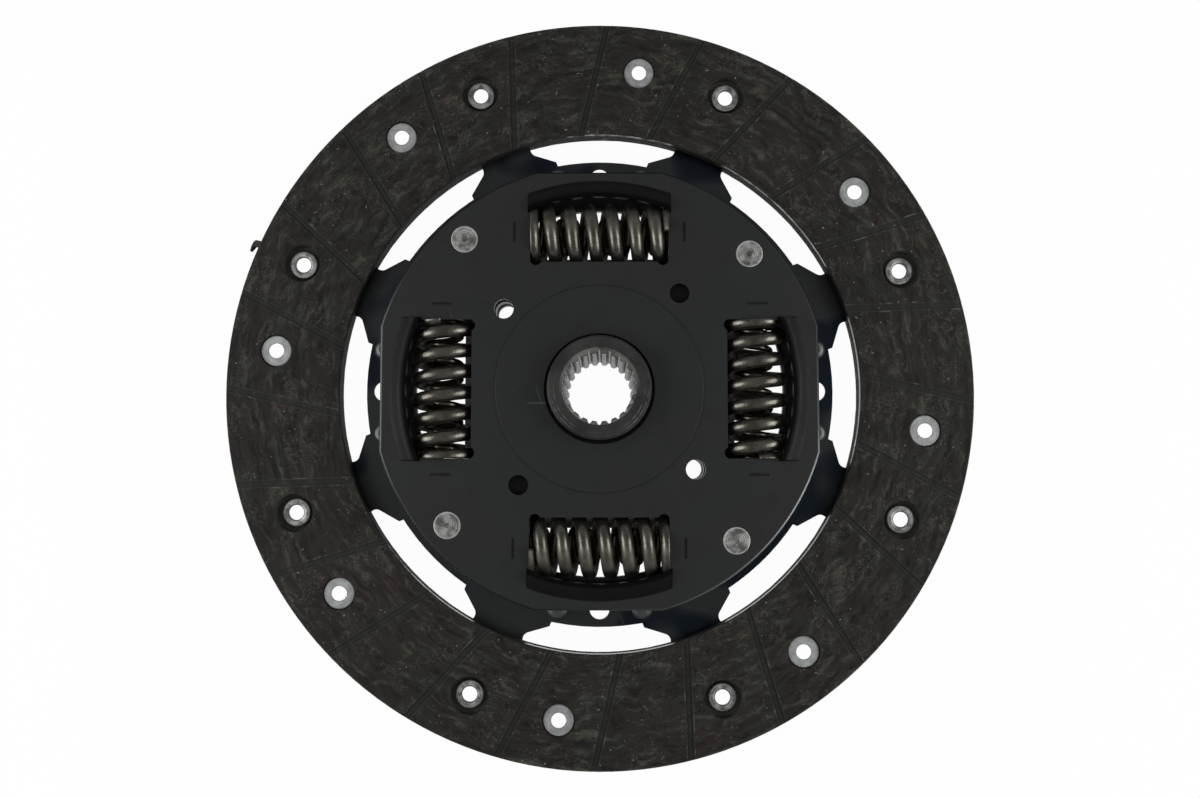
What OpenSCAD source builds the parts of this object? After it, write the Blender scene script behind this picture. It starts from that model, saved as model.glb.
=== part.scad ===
// Sprung clutch disc, dry type, for a splined gearbox shaft.
// The origin is the centre of the hub's rear end, and +Z points along the hub out of the front face.
// All sizes are in millimetres.

/* [Facings] */
// Outer diameter of the friction facings
facing_od = 200; // [196:1:206]
// Clear distance from the carrier's web to the front facing's inner edge
window_h = 6.4; // [5.8:0.1:7]
// How much larger the rear facing's inner radius is
rear_facing_relief = 0.8; // [0:0.1:1]
// Thickness of one facing
facing_t = 3.3; // [3:0.1:3.8]
// Number of grooves across each facing
groove_count = 24; // [12:1:30]
// Width of a groove
groove_w = 1.8; // [1:0.1:2.2]
// Depth of a groove
groove_depth = 0.4; // [0.2:0.1:0.8]
// Distance from the axis at which every groove's line passes
groove_offset = 20.7; // [10:0.1:30]

/* [Carrier] */
// Sheet thickness of the cushioning carrier
carrier_t = 0.7; // [0.5:0.1:0.9]
// Height of the wave in each paddle
wave_h = 0.8; // [0.4:0.1:1.2]
// Width of the neck between two windows, at its narrowest place
neck_w = 14.1; // [12:0.1:15]
// Width of that neck where it leaves the web
web_root_w = 24.9; // [23:0.1:26]
// Radius of a window's outer corners
corner_r = 2; // [1.5:0.1:2.5]
// Angle that one paddle spans
paddle_angle = 41; // [39:0.5:43]
// How far the carrier's web stands out past the front side plate
web_rim = 3.5; // [2.5:0.1:3.8]

/* [Side plates] */
// Sheet thickness of the side plates
plate_t = 2.2; // [1.8:0.1:2.6]
// Outer radius of the front side plate
plate_r = 59.6; // [59:0.1:60.5]
// Depth of the four flats of the front side plate
flat_cut = 2.3; // [1:0.1:3]
// Radius of the rolled edge that the press leaves on a side plate
edge_roll = 0.6; // [0.3:0.1:0.8]
// Radius of the hub opening in the front side plate
plate_bore_r = 14.3; // [14.1:0.1:15]
// Width of that plate's raised centre, from the hub opening outwards
boss_w = 12.9; // [12:0.1:13.5]
// Height of that raised centre
boss_h = 0.5; // [0.2:0.1:0.8]

/* [Springs] */
// Outer diameter of a damper spring
spring_od = 17.9; // [17.6:0.1:18.2]
// Wire diameter of a damper spring
spring_wire = 3.5; // [3:0.1:3.6]
// Length of a damper spring in its window
spring_len = 36.3; // [35:0.1:37]
// Number of coils of a damper spring
spring_turns = 7.4; // [6.6:0.2:8]
// Distance from the front side plate's edge to a spring's own axis
spring_edge = 18.3; // [17.8:0.1:18.6]
// Outer diameter of an inner spring
inner_od = 10; // [9:0.1:10.2]
// Wire diameter of an inner spring
inner_wire = 1.9; // [1.6:0.1:2.1]
// Number of coils of an inner spring
inner_turns = 10.5; // [9.5:0.5:12]

/* [Hub] */
// Length of the splined hub
hub_len = 34; // [33:0.5:38]
// Outer radius of the hub
hub_r = 13.46; // [13.2:0.02:13.7]
// Thickness of the hub flange
flange_t = 4; // [3.6:0.1:4.4]
// Height of the flange's middle above the hub's rear end
flange_mid = 22; // [21:0.5:23]
// Number of spline teeth
teeth = 22; // [18:1:24]
// Radius of the tooth tips in the bore
tip_r = 8.7; // [8.5:0.05:9]
// Radius of the tooth roots in the bore
root_r = 9.6; // [9.5:0.05:10.3]
// Width of one tooth at its tip
tooth_tip_w = 1.05; // [0.8:0.05:1.2]
// Twist of the hub each way until the stop pins are reached, in degrees
travel = 7; // [4:0.5:8]

/* [Rivets and pins] */
// Distance from the facing's outer edge to its rivet circle
rivet_edge = 12.5; // [11.5:0.1:13.5]
// Radius of a facing rivet's head
head_r = 4.15; // [3.8:0.05:4.3]
// Thickness of that head
head_t = 0.9; // [0.7:0.1:1.1]
// Radius of a facing rivet's tube
tube_r = 2.6; // [2.4:0.05:2.8]
// Radius of the hole through a facing rivet
tube_bore_r = 1.95; // [1.7:0.05:2]
// Radius of the clearance hole round a rolled rivet end
clearance_r = 5.1; // [4.8:0.05:5.4]
// Radius of a stop pin between the side plates
pin_r = 4.5; // [4:0.1:4.8]
// Radius of a stop pin's riveted end
pin_end_r = 3.5; // [3:0.1:3.7]
// Distance from the front side plate's edge to a stop pin
pin_edge = 6.6; // [6.3:0.1:7]
// Radius of a carrier rivet's head
carrier_head_r = 2.7; // [2.4:0.05:2.9]

/* [Hidden] */
$fn = 96;
eps = 0.01;
past = 1;

// Clearances
run_gap = 0.08;
face_gap = 0.05;
fit_gap = 0.1;
spring_gap = 0.05;
coil_gap = 0.3;

// Heights, from the flange outwards
flange_low = flange_mid - flange_t / 2;
flange_top = flange_mid + flange_t / 2;
plate_space = 2.8;
front_under = flange_top + plate_space;
front_top = front_under + plate_t;
rear_face = flange_low - plate_space;
rear_under = rear_face - plate_t;
carrier_low = rear_face;
carrier_high = carrier_low + wave_h;
front_facing_low = carrier_high + carrier_t;
front_facing_top = front_facing_low + facing_t;
rear_facing_low = carrier_low - facing_t;

// Radii, from the front side plate inwards and outwards
web_r = plate_r + web_rim;
front_in_r = web_r + window_h;
plate_flat = plate_r - flat_cut;
pin_circle_r = plate_r - pin_edge;
spring_r = plate_r - spring_edge;
boss_r = plate_bore_r + boss_w;

// Facings and their rivets
facing_r = facing_od / 2;
rear_in_r = front_in_r + rear_facing_relief;
edge_bevel = 0.3;
groove_turn = 92;
groove_shift = -1.05;
rivet_circle_r = facing_r - rivet_edge;
fastened_count = 8;
sector = 360 / fastened_count;
head_angle = -7.05;
tail_angle = 21.85;
land_t = 1.7;
tube_gap = 0.1;
head_gap = 0.25;
roll_r = 0.85;
roll_out = 3.55;
head_bevel = 0.25;

// Carrier
web_lap = 9.1;
web_in_r = web_r - web_lap;
neck_angle = 21.83;
paddle_edge = 2.5;
paddle_out_r = facing_r - paddle_edge;
neck_inset = 1.1;
neck_r = front_in_r - neck_inset;
paddle_in_r = neck_r + corner_r;
neck_lap = 3;
wave_flat = 11;
wave_ramp = 7.5;

// Side plates and their windows
window_half = spring_len / 2 + spring_gap;
window_low = 7.9;
window_in = spring_r - window_low;
window_out_r = spring_r + spring_od / 2 + spring_gap;
relief_r = 1.5;
relief_bulge = 0.9;
hood_t = 1.8;
hood_reach = 3.7;
hood_out_r = window_out_r + hood_reach;
hood_rise = 2.4;
hood_lip = 0.8;
hood_foot = 1.5;
hood_steps = 6;
hood_sink = 0.1;
hood_lap = 0.4;
hood_side_lap = 0.3;
roll_steps = 3;
lip_gap = 0.25;
lip_steps = 3;
lip_lap = 0.5;
lip_low = 0.05;
lip_high = plate_t - 0.1;
lip_half = window_half - 2 * relief_r - 0.2;
crease_len = 5.2;
crease_w = 0.5;
crease_depth = 0.2;
crease_gap = 4.2;
crease_at = window_half + crease_gap;
tool_hole_r = 2.6;
tool_hole_out = 5.5;
tool_hole_circle = boss_r + tool_hole_out;
tool_hole_angle = 50;
rear_plate_rim = 2.7;
rear_plate_r = plate_r + rear_plate_rim;
bush_wall = 2.1;
rear_plate_bore_r = hub_r + bush_wall;
edge_hole_r = 2.6;
edge_hole_edge = 1.2;
edge_hole_circle = plate_r - edge_hole_edge;
carrier_rivet_side = 11.3;
carrier_shank_r = 1.9;
carrier_head_t = 1.2;
pin_angle = 42;
pin_dimple_r = 0.7;
pin_dimple_depth = 0.5;

// Hub and damper parts
hub_bevel = 0.5;
bore_bevel = 0.4;
flange_edge = 8.1;
flange_out_r = plate_r - flange_edge;
notch_gap = 0.5;
notch_r = pin_circle_r - pin_r - notch_gap;
notch_half = travel + asin(pin_r / pin_circle_r) + 0.2;
arm_gap = 0.35;
arm_window_in = spring_r - spring_od / 2 - arm_gap;
friction_in_gap = 0.4;
friction_in_r = plate_bore_r + friction_in_gap;
boss_lap = 1.2;
friction_out_r = boss_r - boss_lap;
friction_t = 1.2;
support_t = 1;
arm_w = 5.6;
arm_lap = 4;
lug_r = tool_hole_r - fit_gap;
lug_rise = front_under + 0.6;
disc_spring_t = 0.6;
bush_in_r = hub_r + run_gap;
bush_out_r = rear_plate_bore_r - fit_gap;
bush_tail = 0.5;

// Spring sweep
wire_sides = 8;
coil_steps = 14;
inner_sides = 6;
inner_steps = 10;
closed_turns = 0.6;
grind_share = 0.1;
touch_gap = 0.08;

// A flat ring with a small bevel on every edge
module bevelled_ring(r_in, r_out, z, h, b) {
    rotate_extrude()
        polygon([[r_in + b, z], [r_out - b, z], [r_out, z + b], [r_out, z + h - b],
            [r_out - b, z + h], [r_in + b, z + h], [r_in, z + h - b], [r_in, z + b]]);
}

// Children repeated round the axis, the first one turned by start
module around(count, start = 0) {
    for (i = [0 : count - 1])
        rotate([0, 0, start + i * 360 / count]) children();
}

// The straight grooves of a face at height z, each a line that misses the pattern's middle by
// groove_offset; that middle stands groove_shift off the axis, as the facing was cut
module grooves(z) {
    reach = facing_r + past;
    for (i = [0 : groove_count - 1])
        translate([0, groove_shift, 0]) rotate([0, 0, groove_turn + i * 360 / groove_count])
            translate([groove_offset - groove_w / 2, -reach, z - groove_depth])
                cube([groove_w, reach, groove_depth + past]);
}

// Facing of friction material standing on z = 0, grooves up: counterbored for its own rivets and
// clear of the other facing's rolled ends
module facing(r_in) {
    difference() {
        bevelled_ring(r_in, facing_r, 0, facing_t, edge_bevel);
        around(fastened_count, head_angle)
            translate([rivet_circle_r, 0, 0]) {
                translate([0, 0, -past]) cylinder(r = tube_r + tube_gap, h = facing_t + 2 * past);
                translate([0, 0, land_t]) cylinder(r = head_r + head_gap, h = facing_t - land_t + past);
            }
        around(fastened_count, tail_angle)
            translate([rivet_circle_r, 0, -past]) cylinder(r = clearance_r, h = facing_t + 2 * past);
        grooves(facing_t);
    }
}

module front_facing() {
    color([0.17, 0.15, 0.13])
        translate([0, 0, front_facing_low]) facing(front_in_r);
}

// The same facing turned over, so that its heads come where the front one's rolled ends are
module rear_facing() {
    color([0.17, 0.15, 0.13])
        translate([0, 0, rear_facing_low + facing_t])
            rotate([180, 0, head_angle + tail_angle]) facing(rear_in_r);
}

// Tubular rivet standing on z = 0, head up: the tube's rolled end grips a sheet whose underside is at -grip
module tube_rivet(grip) {
    end_z = -grip - 2 * roll_r;
    difference() {
        union() {
            rotate_extrude()
                polygon([[0, 0], [head_r, 0], [head_r, head_t - head_bevel], [head_r - head_bevel, head_t],
                    [0, head_t]]);
            translate([0, 0, -grip - roll_r]) cylinder(r = tube_r, h = grip + roll_r + eps);
            translate([0, 0, -grip - roll_r])
                rotate_extrude() translate([roll_out - roll_r, 0]) circle(r = roll_r, $fn = 24);
        }
        translate([0, 0, end_z - past]) cylinder(r = tube_bore_r, h = grip + 2 * roll_r + head_t + 2 * past);
    }
}

module front_facing_rivets() {
    color([0.62, 0.62, 0.6])
        around(fastened_count, head_angle)
            translate([rivet_circle_r, 0, front_facing_low + land_t]) tube_rivet(land_t + carrier_t);
}

module rear_facing_rivets() {
    color([0.66, 0.66, 0.66])
        around(fastened_count, tail_angle)
            translate([rivet_circle_r, 0, carrier_low - land_t])
                rotate([180, 0, 0]) tube_rivet(land_t + carrier_t);
}

// One paddle's sheet seen from its end: low in the middle, high at both ends
module wave_profile() {
    end = paddle_out_r;
    a = wave_flat;
    b = wave_flat + wave_ramp;
    polygon([[-end, carrier_high], [-b, carrier_high], [-a, carrier_low], [a, carrier_low],
        [b, carrier_high], [end, carrier_high], [end, carrier_high + carrier_t], [b, carrier_high + carrier_t],
        [a, carrier_low + carrier_t], [-a, carrier_low + carrier_t], [-b, carrier_high + carrier_t],
        [-end, carrier_high + carrier_t]]);
}

// Paddle along +X: the waved sheet trimmed to a sector of a ring
module paddle() {
    intersection() {
        rotate([90, 0, 90]) linear_extrude(paddle_out_r + past) wave_profile();
        rotate([0, 0, -paddle_angle / 2])
            rotate_extrude(angle = paddle_angle)
                translate([paddle_in_r, carrier_low - past])
                    square([paddle_out_r - paddle_in_r, wave_h + carrier_t + 2 * past]);
    }
}

// Plan of one neck along +X, wide at the web and narrow just inside the facings. Its straight sides run
// into the round outer corners of the windows.
module neck_plan() {
    root = web_root_w / 2;
    corner_y = neck_w / 2 + corner_r;
    run = [neck_r - web_r, corner_y - root];
    lean = atan2(run[1], run[0]) - asin(corner_r / norm(run));
    side_len = sqrt(run[0] * run[0] + run[1] * run[1] - corner_r * corner_r);
    touch = [web_r + side_len * cos(lean), root + side_len * sin(lean)];
    outer = paddle_in_r + neck_lap;
    difference() {
        polygon([[web_r - neck_lap, -root], [web_r, -root], [touch[0], -touch[1]], [neck_r, -corner_y],
            [outer, -corner_y], [outer, corner_y], [neck_r, corner_y], touch, [web_r, root],
            [web_r - neck_lap, root]]);
        for (side = [-1, 1])
            translate([neck_r, side * corner_y]) circle(r = corner_r, $fn = 48);
    }
}

module carrier_disc() {
    color([0.1, 0.13, 0.15])
        difference() {
            union() {
                translate([0, 0, carrier_low])
                    difference() {
                        cylinder(r = web_r, h = carrier_t);
                        translate([0, 0, -past]) cylinder(r = web_in_r, h = carrier_t + 2 * past);
                    }
                around(fastened_count, neck_angle) {
                    translate([0, 0, carrier_low]) linear_extrude(carrier_t) neck_plan();
                    paddle();
                }
            }
            around(4, pin_angle)
                translate([pin_circle_r, 0, carrier_low - past])
                    cylinder(r = pin_r + coil_gap, h = carrier_t + 2 * past);
            edge_holes(carrier_low - past, carrier_t + 2 * past);
            carrier_rivet_places() translate([0, 0, carrier_low - past])
                cylinder(r = carrier_shank_r, h = carrier_t + 2 * past);
            around(fastened_count, head_angle)
                translate([rivet_circle_r, 0, carrier_low - past])
                    cylinder(r = tube_r + tube_gap, h = wave_h + carrier_t + 2 * past);
            around(fastened_count, tail_angle)
                translate([rivet_circle_r, 0, carrier_low - past])
                    cylinder(r = tube_r + tube_gap, h = wave_h + carrier_t + 2 * past);
        }
}

// The four holes near the edge that go through the carrier and the rear side plate
module edge_holes(z, h) {
    around(4) translate([edge_hole_circle, 0, z]) cylinder(r = edge_hole_r, h = h);
}

// A rivet on each side of every edge hole
module carrier_rivet_places() {
    around(4)
        for (side = [-1, 1])
            translate([edge_hole_circle, side * carrier_rivet_side, 0]) children();
}

module carrier_rivets() {
    shank = carrier_t + plate_t;
    color([0.4, 0.41, 0.41])
        carrier_rivet_places() {
            translate([0, 0, rear_under]) cylinder(r = carrier_shank_r, h = shank);
            translate([0, 0, carrier_low + carrier_t]) rivet_dome();
            translate([0, 0, rear_under]) mirror([0, 0, 1]) rivet_dome();
        }
}

// A low domed rivet head standing on z = 0
module rivet_dome() {
    rotate_extrude()
        polygon([[0, 0], [carrier_head_r, 0], [carrier_head_r, carrier_head_t * 0.35],
            [carrier_head_r * 0.8, carrier_head_t * 0.8], [carrier_head_r * 0.5, carrier_head_t],
            [0, carrier_head_t]]);
}

// Plan of one spring window along +X, out to the foot of its hood, with its two relief corners
module window_plan() {
    intersection() {
        translate([window_in, -window_half]) square([hood_out_r, 2 * window_half]);
        circle(r = hood_out_r + hood_lap);
    }
    for (side = [-1, 1])
        translate([window_in + relief_r - relief_bulge, side * (window_half - relief_r)])
            circle(r = relief_r, $fn = 32);
}

// Hood over a window's outer edge, on a sheet whose underside is at z = 0: the sheet is drawn up
// so that the spring's ends pass under it, and its top runs down to the sheet in a soft double bend
module hood() {
    crown_r = window_out_r + hood_lip;
    foot_r = hood_out_r + hood_foot;
    low = plate_t - hood_sink;
    drop = hood_rise + hood_t - low;
    half_w = window_half + hood_side_lap;
    bend = [for (k = [0 : hood_steps])
        [foot_r + (crown_r - foot_r) * k / hood_steps,
         low + drop * (1 - cos(180 * k / hood_steps)) / 2]];
    intersection() {
        rotate([0, 0, -45])
            rotate_extrude(angle = 90)
                polygon(concat([[window_out_r, hood_rise], [crown_r, hood_rise], [hood_out_r, 0], [foot_r, 0]],
                    bend, [[window_out_r, hood_rise + hood_t]]));
        translate([window_in, -half_w, -past]) cube([plate_r, 2 * half_w, hood_rise + hood_t + 2 * past]);
    }
}

// Round upper edge that the press leaves on a sheet whose side is at X = at
function rolled_edge(at) = [for (k = [0 : roll_steps])
    [at - edge_roll + edge_roll * sin(90 * k / roll_steps),
     plate_t - edge_roll + edge_roll * cos(90 * k / roll_steps)]];

// A side plate's common part, its underside at z = 0 and its outer face up
module plate_blank(r, bore_r) {
    difference() {
        cylinder(r = r, h = plate_t);
        translate([0, 0, -past]) cylinder(r = bore_r, h = plate_t + 2 * past);
        around(4) {
            translate([0, 0, -past]) linear_extrude(plate_t + 2 * past) window_plan();
            for (side = [-1, 1])
                translate([spring_r - crease_len / 2, side * crease_at - crease_w / 2, plate_t - crease_depth])
                    cube([crease_len, crease_w, crease_depth + past]);
        }
        around(4, pin_angle)
            translate([pin_circle_r, 0, -past]) cylinder(r = pin_end_r, h = plate_t + 2 * past);
        around(4, tool_hole_angle)
            translate([tool_hole_circle, 0, -past]) cylinder(r = tool_hole_r, h = plate_t + 2 * past);
        rotate_extrude()
            polygon(concat([[r - edge_roll, plate_t + past]], rolled_edge(r),
                [[r + past, plate_t - edge_roll], [r + past, plate_t + past]]));
    }
    around(4) hood();
}

module front_side_plate() {
    color([0.14, 0.15, 0.15])
        translate([0, 0, front_under])
            difference() {
                union() {
                    plate_blank(plate_r, plate_bore_r);
                    bevelled_ring(plate_bore_r, boss_r, boss_h, plate_t, 0.2);
                }
                translate([0, 0, -past]) cylinder(r = boss_r - edge_roll, h = boss_h + past);
                around(4)
                    rotate([90, 0, 0])
                        translate([0, 0, -plate_r])
                            linear_extrude(2 * plate_r)
                                polygon(concat([[plate_flat - edge_roll, plate_t + past]], rolled_edge(plate_flat),
                                    [[plate_flat, -past], [plate_r + past, -past],
                                     [plate_r + past, plate_t + past]]));
            }
}

// Inner edge of one window of the rear side plate, on a sheet whose flange side is at z = 0: it slopes
// outwards and follows the spring's lower side at a small clearance
module window_lip() {
    near = spring_od / 2 + lip_gap;
    edge = [for (k = [0 : lip_steps])
        let (z = lip_low + (lip_high - lip_low) * k / lip_steps,
             below = flange_mid - rear_face + z)
        [spring_r - sqrt(near * near - below * below), z]];
    rotate([90, 0, 0])
        translate([0, 0, -lip_half])
            linear_extrude(2 * lip_half)
                polygon(concat([[window_in - lip_lap, lip_high], [window_in - lip_lap, lip_low]], edge));
}

module rear_side_plate() {
    color([0.13, 0.14, 0.14])
        translate([0, 0, rear_face])
            mirror([0, 0, 1]) {
                difference() {
                    plate_blank(rear_plate_r, rear_plate_bore_r);
                    edge_holes(-past, plate_t + 2 * past);
                    carrier_rivet_places() translate([0, 0, -past])
                        cylinder(r = carrier_shank_r, h = plate_t + 2 * past);
                }
                around(4) window_lip();
            }
}

// Stop pin: a thick barrel between the side plates with a riveted end in each of them
module stop_pin(i) {
    color([0.5, 0.5, 0.49])
        rotate([0, 0, pin_angle + 90 * (i - 1)])
            translate([pin_circle_r, 0, 0])
                difference() {
                    union() {
                        translate([0, 0, rear_face]) cylinder(r = pin_r, h = front_under - rear_face);
                        translate([0, 0, rear_under]) cylinder(r = pin_end_r, h = front_top - rear_under);
                    }
                    translate([0, 0, front_top - pin_dimple_depth])
                        cylinder(r = pin_dimple_r, h = pin_dimple_depth + past);
                    translate([0, 0, rear_under - past])
                        cylinder(r = pin_dimple_r, h = pin_dimple_depth + past);
                }
}

// Friction ring between the hub flange and the support washer
module friction_ring() {
    color([0.3, 0.27, 0.22])
        bevelled_ring(friction_in_r, friction_out_r, flange_top + face_gap, friction_t, 0.1);
}

// Steel washer that holds the friction ring, kept from turning by two lugs in the front side plate's holes
module support_washer() {
    z = flange_top + face_gap + friction_t;
    color([0.45, 0.45, 0.44])
        difference() {
            union() {
                translate([0, 0, z]) cylinder(r = friction_out_r, h = support_t);
                for (turn = [0, 180])
                    rotate([0, 0, tool_hole_angle + turn]) {
                        translate([friction_in_r + arm_lap, -arm_w / 2, z])
                            cube([tool_hole_circle - friction_in_r - arm_lap, arm_w, support_t]);
                        translate([tool_hole_circle, 0, z]) cylinder(r = arm_w / 2, h = support_t);
                        translate([tool_hole_circle, 0, z]) cylinder(r = lug_r, h = lug_rise - z);
                    }
            }
            translate([0, 0, z - past]) cylinder(r = friction_in_r, h = support_t + 2 * past);
        }
}

// Conical spring washer that loads the friction ring, between the support washer and the raised centre
module disc_spring() {
    z = flange_top + face_gap + friction_t + support_t;
    roof = front_under + boss_h;
    color([0.35, 0.35, 0.36])
        rotate_extrude()
            polygon([[friction_out_r - 0.5, z], [friction_out_r - 0.5, z + disc_spring_t],
                [friction_in_r + 1.5, roof], [friction_in_r + 1.5, roof - disc_spring_t]]);
}

// Moulded bush that guides the hub in the rear side plate; its flange is the rear friction face
module rear_bush() {
    color([0.75, 0.7, 0.55])
        rotate_extrude()
            polygon([[bush_in_r, rear_under - bush_tail], [bush_out_r, rear_under - bush_tail],
                [bush_out_r, rear_face], [friction_out_r, rear_face],
                [friction_out_r, flange_low - face_gap], [bush_in_r, flange_low - face_gap]]);
}

// Space between two spline teeth, along +X, narrow at the root
module tooth_space() {
    pitch_w = 2 * PI * tip_r / teeth;
    mouth = pitch_w - tooth_tip_w;
    floor_w = mouth * 0.35;
    polygon([[tip_r - 0.6, -mouth / 2], [tip_r, -mouth / 2], [root_r, -floor_w / 2],
        [root_r, floor_w / 2], [tip_r, mouth / 2], [tip_r - 0.6, mouth / 2]]);
}

// Flange plan: four open notches for the springs and four shorter ones for the stop pins
module flange_plan() {
    reach = flange_out_r + past;
    difference() {
        circle(r = flange_out_r);
        around(4)
            translate([arm_window_in, -window_half]) square([reach, 2 * window_half]);
        around(4, pin_angle)
            difference() {
                polygon([[0, 0], [reach, -reach * tan(notch_half)], [reach, reach * tan(notch_half)]]);
                circle(r = notch_r);
            }
        for (turn = [90, 270])
            rotate([0, 0, tool_hole_angle + turn])
                translate([tool_hole_circle, 0]) circle(r = tool_hole_r, $fn = 48);
    }
}

module hub() {
    color([0.3, 0.3, 0.29])
        difference() {
            union() {
                rotate_extrude()
                    polygon([[0, 0], [hub_r - hub_bevel, 0], [hub_r, hub_bevel], [hub_r, hub_len - hub_bevel],
                        [hub_r - hub_bevel, hub_len], [0, hub_len]]);
                translate([0, 0, flange_low]) linear_extrude(flange_t) flange_plan();
            }
            translate([0, 0, -past]) cylinder(r = tip_r, h = hub_len + 2 * past);
            rotate_extrude()
                polygon([[0, -past], [root_r + bore_bevel, -past], [root_r + bore_bevel, 0],
                    [tip_r, root_r + bore_bevel - tip_r], [0, root_r + bore_bevel - tip_r]]);
            rotate_extrude()
                polygon([[0, hub_len - bore_bevel], [tip_r, hub_len - bore_bevel], [tip_r + bore_bevel, hub_len],
                    [tip_r + bore_bevel, hub_len + past], [0, hub_len + past]]);
            around(teeth, 90)
                translate([0, 0, -past]) linear_extrude(hub_len + 2 * past) tooth_space();
        }
}

// Height of the wire's centre above the ground end after u coils: each end coil closes onto the next one,
// and the pitch between them is even
function coil_rise(u, turns, wire, length) =
    let (sunk = grind_share * wire,
         near = wire + touch_gap,
         pitch = (length + 2 * sunk - 2 * near) / (turns - 2),
         slow = (near - pitch * (1 - closed_turns)) / closed_turns)
    u < closed_turns ? slow * u - sunk
    : u > turns - closed_turns ? length + sunk - slow * (turns - u)
    : slow * closed_turns + pitch * (u - closed_turns) - sunk;

// Right-hand coil along Y, centred on the origin, swept as one closed tube with ends ground flat
module coil(od, wire, turns, length, steps, sides, start) {
    mean_r = (od - wire) / 2;
    rings = round(turns * steps);
    corner = wire / 2 / cos(180 / sides);
    point_list = [for (i = [0 : rings])
        let (u = turns * i / rings,
             a = start - 360 * u,
             rise = coil_rise(u, turns, wire, length))
        for (s = [0 : sides - 1])
            let (b = 360 * (s + 0.5) / sides,
                 r = mean_r + corner * cos(b),
                 y = min(max(rise + corner * sin(b), 0), length) - length / 2)
            [r * cos(a), y, r * sin(a)]];
    side_faces = [for (i = [0 : rings - 1]) for (s = [0 : sides - 1])
        let (p = i * sides + s,
             q = i * sides + (s + 1) % sides)
        [p, q, q + sides, p + sides]];
    // Each end cap is a fan from the corner opposite its ground side
    far = sides / 2 + 1;
    first_cap = [for (k = [1 : sides - 2]) [1, (k + 2) % sides, (k + 1) % sides]];
    last_cap = [for (k = [1 : sides - 2])
        [rings * sides + far, rings * sides + (far + k) % sides, rings * sides + (far + k + 1) % sides]];
    polyhedron(points = point_list, faces = concat(side_faces, first_cap, last_cap), convexity = 10);
}

module spring(i) {
    color([0.42, 0.39, 0.35])
        rotate([0, 0, 90 * (i - 1)])
            translate([spring_r, 0, flange_mid])
                coil(spring_od, spring_wire, spring_turns, spring_len, coil_steps, wire_sides, 90);
}

module inner_spring(i) {
    color([0.36, 0.33, 0.3])
        rotate([0, 0, 90 * (i - 1)])
            translate([spring_r, 0, flange_mid])
                mirror([0, 1, 0])
                    coil(inner_od, inner_wire, inner_turns, spring_len, inner_steps, inner_sides, 200);
}

front_facing();
rear_facing();
carrier_disc();
front_facing_rivets();
rear_facing_rivets();
front_side_plate();
rear_side_plate();
carrier_rivets();
stop_pin(1);  // stop_pin_1
stop_pin(2);  // stop_pin_2
stop_pin(3);  // stop_pin_3
stop_pin(4);  // stop_pin_4
friction_ring();
support_washer();
disc_spring();
rear_bush();
hub();
spring(1);  // spring_1
spring(2);  // spring_2
spring(3);  // spring_3
spring(4);  // spring_4
inner_spring(1);  // inner_spring_1
inner_spring(2);  // inner_spring_2
inner_spring(3);  // inner_spring_3
inner_spring(4);  // inner_spring_4
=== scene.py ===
import math

import bpy
import numpy as np
from mathutils import Matrix, Vector


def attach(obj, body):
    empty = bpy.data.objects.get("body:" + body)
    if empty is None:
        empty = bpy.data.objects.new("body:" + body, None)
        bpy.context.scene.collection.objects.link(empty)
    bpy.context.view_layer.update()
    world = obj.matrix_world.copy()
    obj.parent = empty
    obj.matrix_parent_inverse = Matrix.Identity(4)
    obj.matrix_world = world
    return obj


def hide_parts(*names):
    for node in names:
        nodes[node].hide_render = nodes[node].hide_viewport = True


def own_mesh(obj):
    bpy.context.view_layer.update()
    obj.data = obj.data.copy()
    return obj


# Looks of a sprung clutch disc, laid on its back and seen from the front
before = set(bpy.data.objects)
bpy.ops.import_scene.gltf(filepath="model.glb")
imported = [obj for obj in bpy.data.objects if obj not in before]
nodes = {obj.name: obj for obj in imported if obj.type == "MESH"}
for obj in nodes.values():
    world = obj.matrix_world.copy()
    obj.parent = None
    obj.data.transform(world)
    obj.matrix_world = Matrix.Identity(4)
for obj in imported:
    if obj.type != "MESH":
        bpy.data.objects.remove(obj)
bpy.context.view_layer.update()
print("frame loaded with", len(nodes), "nodes")

mm = 0.001


# A value inside a finish: sums and other operations on it add Math nodes
class Wire:
    def __init__(self, finish, socket):
        self.finish = finish
        self.socket = socket

    # This value is the first of the operation's values
    def maths(self, operation, *others):
        return self.finish.node("ShaderNodeMath", {"operation": operation}, dict(enumerate((self, *others))))

    # This value is the second one
    def after(self, operation, first):
        return self.finish.node("ShaderNodeMath", {"operation": operation}, {0: first, 1: self})

    def __add__(self, other):
        return self.maths("ADD", other)

    def __radd__(self, other):
        return self.after("ADD", other)

    def __sub__(self, other):
        return self.maths("SUBTRACT", other)

    def __rsub__(self, other):
        return self.after("SUBTRACT", other)

    def __mul__(self, other):
        return self.maths("MULTIPLY", other)

    def __rmul__(self, other):
        return self.after("MULTIPLY", other)

    def __truediv__(self, other):
        return self.maths("DIVIDE", other)

    def __rtruediv__(self, other):
        return self.after("DIVIDE", other)

    def __pow__(self, other):
        return self.maths("POWER", other)

    def __abs__(self):
        return self.maths("ABSOLUTE")


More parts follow.
